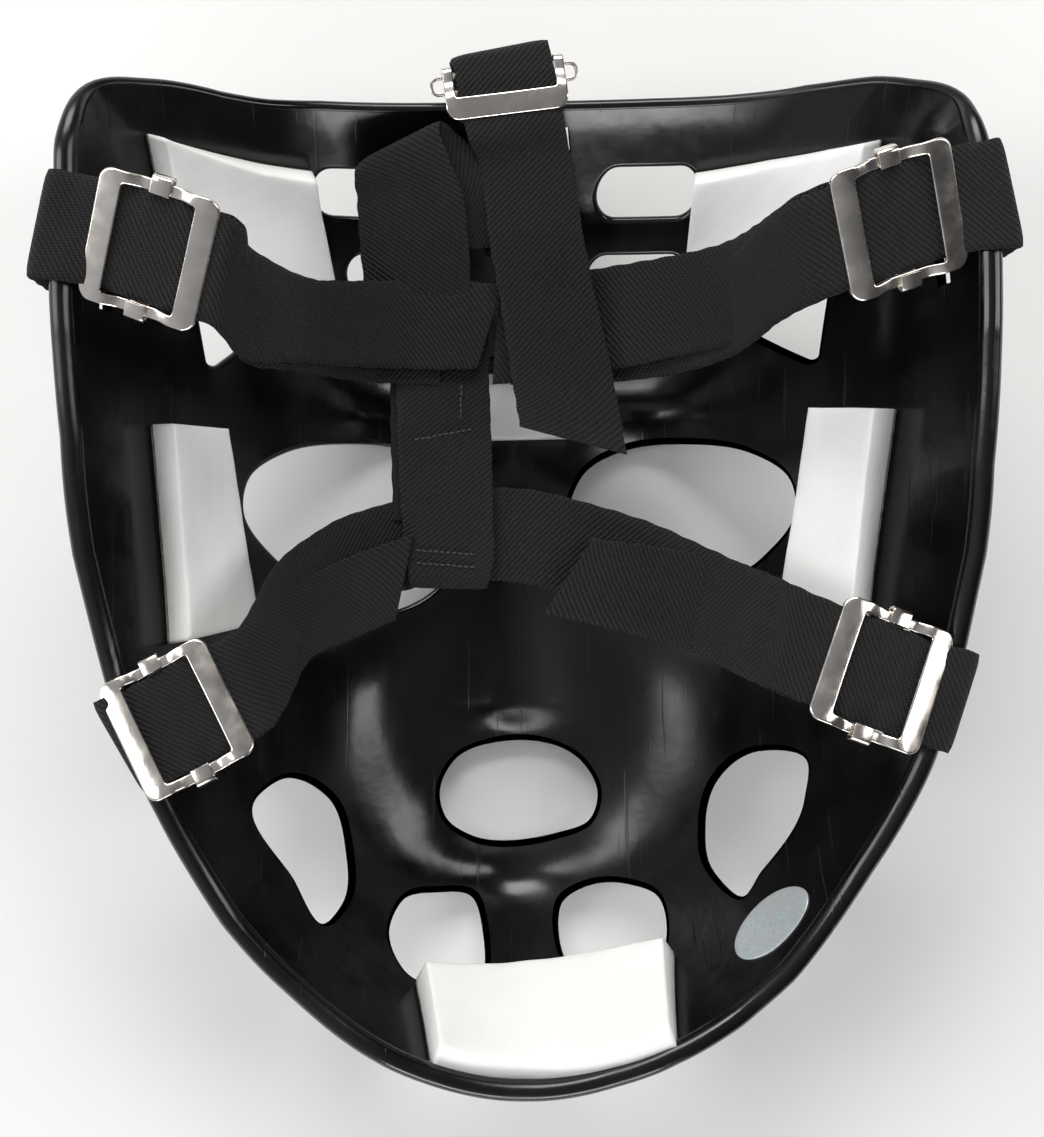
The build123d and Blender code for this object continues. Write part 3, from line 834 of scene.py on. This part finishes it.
# The other straps' runs: x, y of one edge, x, y of the other, and height.
CROWN_TAIL = [(-10.9, 100.7, 11.8, 102.6, 56), (-8.1, 81.6, 15.0, 84.6, 52.8), (-5.4, 66.9, 18.1, 69.4, 51.5),
              (-2.9, 50.7, 21.6, 53.9, 51.5), (-0.4, 35.4, 26.3, 28.4, 51.5)]
CROWN_SLACK = [(-39.0, 66.0, -12.8, 66.0, 47.5), (-40.3, 80.5, -13.1, 79.3, 51),
               (-40.7, 90.6, -14.9, 93.0, 56), (-40.3, 98.2, -20.4, 108.2, 60),
               (-39.6, 99.3, -20.0, 109.3, 59), (-33.5, 98.0, -16.2, 107.0, 57),
               (-22.5, 92.0, -6.5, 97.0, 54), (-19.0, 80.0, -2.5, 81.0, 49)]
BACK_RUN = [(-31.1, 64.0, -8.0, 64.0, 43.6), (-31.6, 49.6, -8.0, 49.6, 44.2), (-31.2, 34.8, -7.5, 34.8, 46.5),
            (-30.2, 14.6, -7.1, 14.6, 48.4), (-28.7, 2.0, -7.3, -0.5, 48.9), (-28.2, -3.3, -8.3, -3.9, 48.6),
            (-28.0, -4.2, -8.5, -4.7, 47.6), (-27.9, -3.0, -8.6, -3.4, 46.8), (-28.0, 8.0, -8.4, 8.0, 46.8)]
BACK_UNDER_RUN = [(-33.2, 47.5, -29.0, 47.5, 43.0), (-32.9, 33.0, -29.0, 33.0, 44.9),
                  (-32.2, 12.0, -28.5, 12.0, 46.7)]


def side_strap(name):
    anchor = Anchor(name)
    main, tail = RUNS[name]
    level = anchor.buckle_u - 15
    path = [(level, anchor.main_z), (-14.5, anchor.main_z), (-10, anchor.slot_z)]
    path += [(anchor.loop_u, anchor.slot_z), (anchor.loop_u, anchor.tail_z), (level, anchor.tail_z)]
    loop = filleted(path, [2.2, 2.2, 2.4, 2.4])
    a = np.array([anchor.strap_point(u, STRAP_HALF, z) for u, z in loop])
    b = np.array([anchor.strap_point(u, -STRAP_HALF, z) for u, z in loop])
    main_a, main_b = stations(main)
    tail_a, tail_b = stations(tail)
    made = ribbon(f"{name}_strap_webbing", np.vstack([main_a, a, tail_a]), np.vstack([main_b, b, tail_b]))
    return finish_strap(made, name)


def finish_strap(made, name):
    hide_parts(f"{name}_strap")
    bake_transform(made)
    return made


def crown_strap():
    """Over the forehead edge and through its buckle; the tail hangs to the middle, on top of the rest."""
    anchor = Anchor("crown")
    rim, over = anchor.rim_z, anchor.tail_z
    path = [(-30, 41), (-16, rim - 9), (-8.5, rim - 2.5), (-8.5, rim - 12.8), (9.5, rim - 12.0)]
    path += [(14, rim - 18), (19.3, rim - 13), (15.5, over), (-3.0, over)]
    loop = filleted(path, [6, 2.6, 1.3, 1.8, 1.5, 1.8, 2.6])
    a = np.array([anchor.at(u, STRAP_HALF, z) for u, z in loop])
    b = np.array([anchor.at(u, -STRAP_HALF, z) for u, z in loop])
    tail_a, tail_b = stations(CROWN_TAIL)
    tail = ribbon("crown_strap_webbing", np.vstack([a, tail_a]), np.vstack([b, tail_b]))
    fold = ribbon("crown_strap_slack", *stations(CROWN_SLACK), start_u=60)
    finish_strap(fold, "crown")
    return finish_strap(tail, "crown")


def back_strap():
    """The vertical strap, folded under at its low end, and the edge of the layer that shows beneath it."""
    made = ribbon("back_strap_webbing", *stations(BACK_RUN), start_u=15)
    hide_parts("back_strap")
    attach(made, "harness")
    under = ribbon("back_strap_under_layer", *stations(BACK_UNDER_RUN), across=6, start_u=33)
    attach(under, "harness")


# Each row's start, end and height; the pitch of its stitches; and one stitch as places along it and radii.
STITCH_ROWS = [((-27.0, 32.4), (-11.0, 35.4), 47.35), ((-26.5, 4.6), (-10.5, 3.4), 49.7),
               ((-26.5, 1.4), (-10.5, 0.2), 49.75), ((-15.2, 36.0), (-15.0, 46.5), 46.4)]
STITCH_PITCH = 1.5
STITCH_BULGE = ((-0.62, 0.05), (-0.45, 0.2), (0, 0.26), (0.45, 0.2), (0.62, 0.05))


def stitches():
    """Rows of lockstitch: short raised threads, each slightly askew."""
    verts, quads = [], []
    for start, end, z in STITCH_ROWS:
        a, b = np.array(start), np.array(end)
        span = np.linalg.norm(b - a)
        way = (b - a) / span
        cross = np.array([-way[1], way[0]])
        for k in range(int(span / STITCH_PITCH)):
            mid = a + way * (STITCH_PITCH / 2 + STITCH_PITCH * k) + cross * rng.normal(0, 0.05)
            base = len(verts)
            for along, radius in STITCH_BULGE:
                for j in range(8):
                    t = 2 * math.pi * j / 8
                    p = mid + way * along + cross * math.cos(t) * radius
                    verts.append((p[0], p[1], z + 0.12 * (1 - along * along * 2) + math.sin(t) * radius))
            quads += [tuple(base + q for q in f) for f in skin(len(STITCH_BULGE), 8)]
    made = make_mesh("harness_stitch_rows", verts, quads, THREAD)
    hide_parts("harness_stitching")
    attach(made, "harness")


# ---- buckles ------------------------------------------------------------------------------------
FRAME_POINTS = 220  # points round a buckle frame
# The frame's section, its cut edges rounded over: a distance in from the outer edge, or from the inner edge
# if it is negative, and a height as a share of the sheet's thickness.
FRAME_SECTION = [(0, -0.28), (0, 0.28), (0.1, 0.43), (0.28, 0.5), (0.5, 0.52), (-0.5, 0.52), (-0.28, 0.5),
                 (-0.1, 0.43), (-0.001, 0.28), (-0.001, -0.28), (-0.1, -0.43), (-0.28, -0.5), (0.28, -0.5),
                 (0.1, -0.43)]
CROWN_BEND, BEND_START, BEND_RADIUS = 86, -1.6, 1.2  # where the crown buckle folds over the forehead edge


def rounded_rectangle(half_u, half_v, radius, count=8):
    loop = []
    for su, sv, start in ((1, 1, 0), (-1, 1, 90), (-1, -1, 180), (1, -1, 270)):
        for k in range(count + 1):
            a = math.radians(start + 90 * k / count)
            u, v = su * (half_u - radius), sv * (half_v - radius)
            loop.append((u + radius * math.cos(a), v + radius * math.sin(a)))
    return np.array(loop)


def matched(loop, n):
    """n points on a loop at even turns about its middle."""
    dense = resampled(loop, 0.15)
    a = np.arctan2(dense[:, 1], dense[:, 0])
    order = np.argsort(a)
    want = np.linspace(-math.pi, math.pi, n, endpoint=False)
    return np.stack([np.interp(want, a[order], dense[order, k], period=2 * math.pi) for k in (0, 1)], -1)


def frame_height(u):
    """Side view of the stamped frame: rails low in the middle, end bars raised over the strap."""
    side = np.abs(u)
    return 1.5 * ease((side - 3.9) / 4.4) - 0.9 * ease((side - 10.5) / 4.5)


def buckle_frame(name, bend=0.0):
    anchor = Anchor(name)
    outer = matched(rounded_rectangle(13.7, 14.95, 3.0), FRAME_POINTS)
    inner = matched(rounded_rectangle(8.4, 12.4, 0.7), FRAME_POINTS)
    rows = []
    for offset, height in FRAME_SECTION:
        edge, other = (outer, inner) if offset >= 0 else (inner, outer)
        p = edge + unit(other - edge) * abs(offset)
        rows.append(np.stack([p[:, 0], p[:, 1], frame_height(p[:, 0]) + height], -1))
    rows = np.array(rows)
    if bend:
        u, w = rows[..., 0].copy(), rows[..., 2].copy()
        start, radius = BEND_START, BEND_RADIUS
        turn = np.clip((u - start) / radius, 0, math.radians(bend))
        rest = np.maximum(0, u - start - radius * math.radians(bend))
        rows[..., 0] = np.where(u > start, start + (radius + w) * np.sin(turn) + rest * np.cos(turn), u)
        rows[..., 2] = np.where(u > start, w - (radius + w) * (1 - np.cos(turn)) - rest * np.sin(turn), w)
    placed = anchor.place(rows[..., 0], rows[..., 1], rows[..., 2])
    count, ring = placed.shape[:2]
    quads = skin(count, ring, closed=True)
    made = face_outwards(make_mesh(f"{name}_buckle_plate", placed.reshape(-1, 3), quads, NICKEL))
    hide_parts(f"{name}_buckle_frame")
    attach(made, f"{name}_buckle")


def strip(anchor, path, radii, thick, low, high, level=False):
    """A bent metal strip. Its bends are seen from the side, or from above where it lies level."""
    line = filleted(path, radii, step=2.0, arc_steps=6)
    way = unit(np.gradient(line, axis=0))
    side = np.stack([way[:, 1], -way[:, 0]], -1)
    c = 0.22
    section = [(low + c, -1), (low, -1 + c), (low, 1 - c), (low + c, 1)]
    section += [(high - c, 1), (high, 1 - c), (high, -1 + c), (high - c, -1)]
    rows = [np.stack([np.full(len(line), w), *(line + side * h * thick / 2).T], -1) for w, h in section]
    rows = np.array(rows)
    u, w = (2, 0) if level else (0, 2)
    placed = anchor.place(rows[..., u], rows[..., 1], rows[..., w])
    ring, count = placed.shape[:2]
    verts = placed.transpose(1, 0, 2).reshape(-1, 3)
    return verts, capped(count, ring)


def buckle_bar(name):
    anchor = Anchor(name)
    if name == "crown":
        hook = [(14.1, -2.3), (17.9, -2.3), (17.9, -6.3)]
        path = hook + [(-v, u) for v, u in hook[::-1]]
        verts, quads = strip(anchor, path, [1.7, 1.7, 1.7, 1.7], 0.75, -2.2, -0.95, level=True)
    else:
        hook = [(12.3, 1.32), (15.9, 1.32), (15.9, -1.62)]
        path = hook + [(-v, w) for v, w in hook[::-1]]
        verts, quads = strip(anchor, path, [0.7, 0.7, 0.7, 0.7], 0.85, -2.3, 2.3)
    made = face_outwards(make_mesh(f"{name}_buckle_sliding_bar", verts, quads, NICKEL_BAR))
    soften(made, 0.1, 2)
    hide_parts(f"{name}_buckle_bar")
    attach(made, f"{name}_bar")


# ---- label --------------------------------------------------------------------------------------
LABEL_AT, LABEL_HALF, LABEL_TURN = (60.4, -86), (11.5, 3.1), 48.7  # centre, half sizes and turn, in plan


def build_label():
    """A thin oval, stuck flat on the wall, with a softened edge."""
    verts = []
    count = 48
    turn = math.radians(LABEL_TURN)
    lift = [(0.0, 0.42), (0.4, 0.42), (0.8, 0.42), (0.93, 0.42), (0.985, 0.40), (1.0, 0.34), (1.0, 0.12)]
    for share, height in lift:
        a = np.linspace(0, 2 * math.pi, count, endpoint=False)
        du, dv = LABEL_HALF[0] * share * np.cos(a), LABEL_HALF[1] * share * np.sin(a)
        x = LABEL_AT[0] + du * math.cos(turn) - dv * math.sin(turn)
        y = LABEL_AT[1] + du * math.sin(turn) + dv * math.cos(turn)
        p, n = surface(x, y)
        verts.append(p + n * height)
    made = face_outwards(make_mesh("blank_oval_label", np.vstack(verts), skin(len(lift), count), FOIL))
    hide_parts("label")
    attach(made, "mask")


# ---- build --------------------------------------------------------------------------------------
shell = build_shell()
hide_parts("shell")
for piece in (shell, build_bead()):
    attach(piece, "mask")
for pad, corners in PADS.items():
    build_pad(pad, corners)
for strap in RUNS:
    side_strap(strap)
crown_strap()
back_strap()
stitches()
for buckle in RUNS:
    buckle_frame(buckle)
    buckle_bar(buckle)
buckle_frame("crown", bend=CROWN_BEND)
buckle_bar("crown")
build_label()
build_tapes()


# ---- floor, light and camera --------------------------------------------------------------------
def build_floor():
    size = 16.0
    bpy.ops.mesh.primitive_plane_add(size=size, location=(0, 0, 0))
    floor = bpy.context.object
    floor.name = "floor"
    floor.data.materials.append(PAPER)


def softbox(name, place, target, size, power, colour=(1, 1, 1)):
    light = bpy.data.lights.new(name, "AREA")
    light.shape, light.size, light.size_y = "RECTANGLE", size[0], size[1]
    light.energy, light.color = power, colour
    made = bpy.data.objects.new(name, light)
    made.location = place
    made.rotation_euler = (Vector(target) - Vector(place)).to_track_quat("-Z", "Y").to_euler()
    bpy.context.scene.collection.objects.link(made)


build_floor()
softbox("key_top", (-0.15, 1.05, 0.95), (0, 0, 0), (1.0, 0.6), 15.5, (1, 0.985, 0.96))
softbox("side_left", (-1.0, 0.1, 0.75), (0, 0, 0.03), (0.35, 1.0), 5.6)
softbox("side_right", (1.0, 0.15, 0.8), (0, 0, 0.03), (0.35, 1.0), 5.0)
softbox("low_front", (0.0, -1.05, 0.42), (0, 0.05, 0.05), (0.8, 0.3), 6.0)

world = bpy.data.worlds.new("studio")
world.use_nodes = True
sky = world.node_tree.nodes["Background"]
sky.inputs["Color"].default_value = (0.93, 0.95, 1.0, 1)
links = world.node_tree.links
way = world.node_tree.nodes.new("ShaderNodeTexCoord")
parts = world.node_tree.nodes.new("ShaderNodeSeparateXYZ")
glow = world.node_tree.nodes.new("ShaderNodeMapRange")
for socket, value in (("From Min", -0.7), ("From Max", 0.6), ("To Min", 0.47), ("To Max", 0.06)):
    glow.inputs[socket].default_value = value
links.new(way.outputs["Generated"], parts.inputs[0])
links.new(parts.outputs["X"], glow.inputs["Value"])
links.new(glow.outputs["Result"], sky.inputs["Strength"])
bpy.context.scene.world = world
bpy.context.scene.view_settings.view_transform = "Standard"
bpy.context.scene.view_settings.look = "None"

lens = bpy.data.cameras.new("camera")
lens.sensor_fit, lens.sensor_width, lens.lens = "HORIZONTAL", 36.0, FOCAL
lens.shift_x = FRAMING
lens.clip_start, lens.clip_end = 0.01, 20
camera = bpy.data.objects.new("camera", lens)
camera.location = to_row(EYE_POSITION)
bpy.context.scene.collection.objects.link(camera)
bpy.context.scene.camera = camera
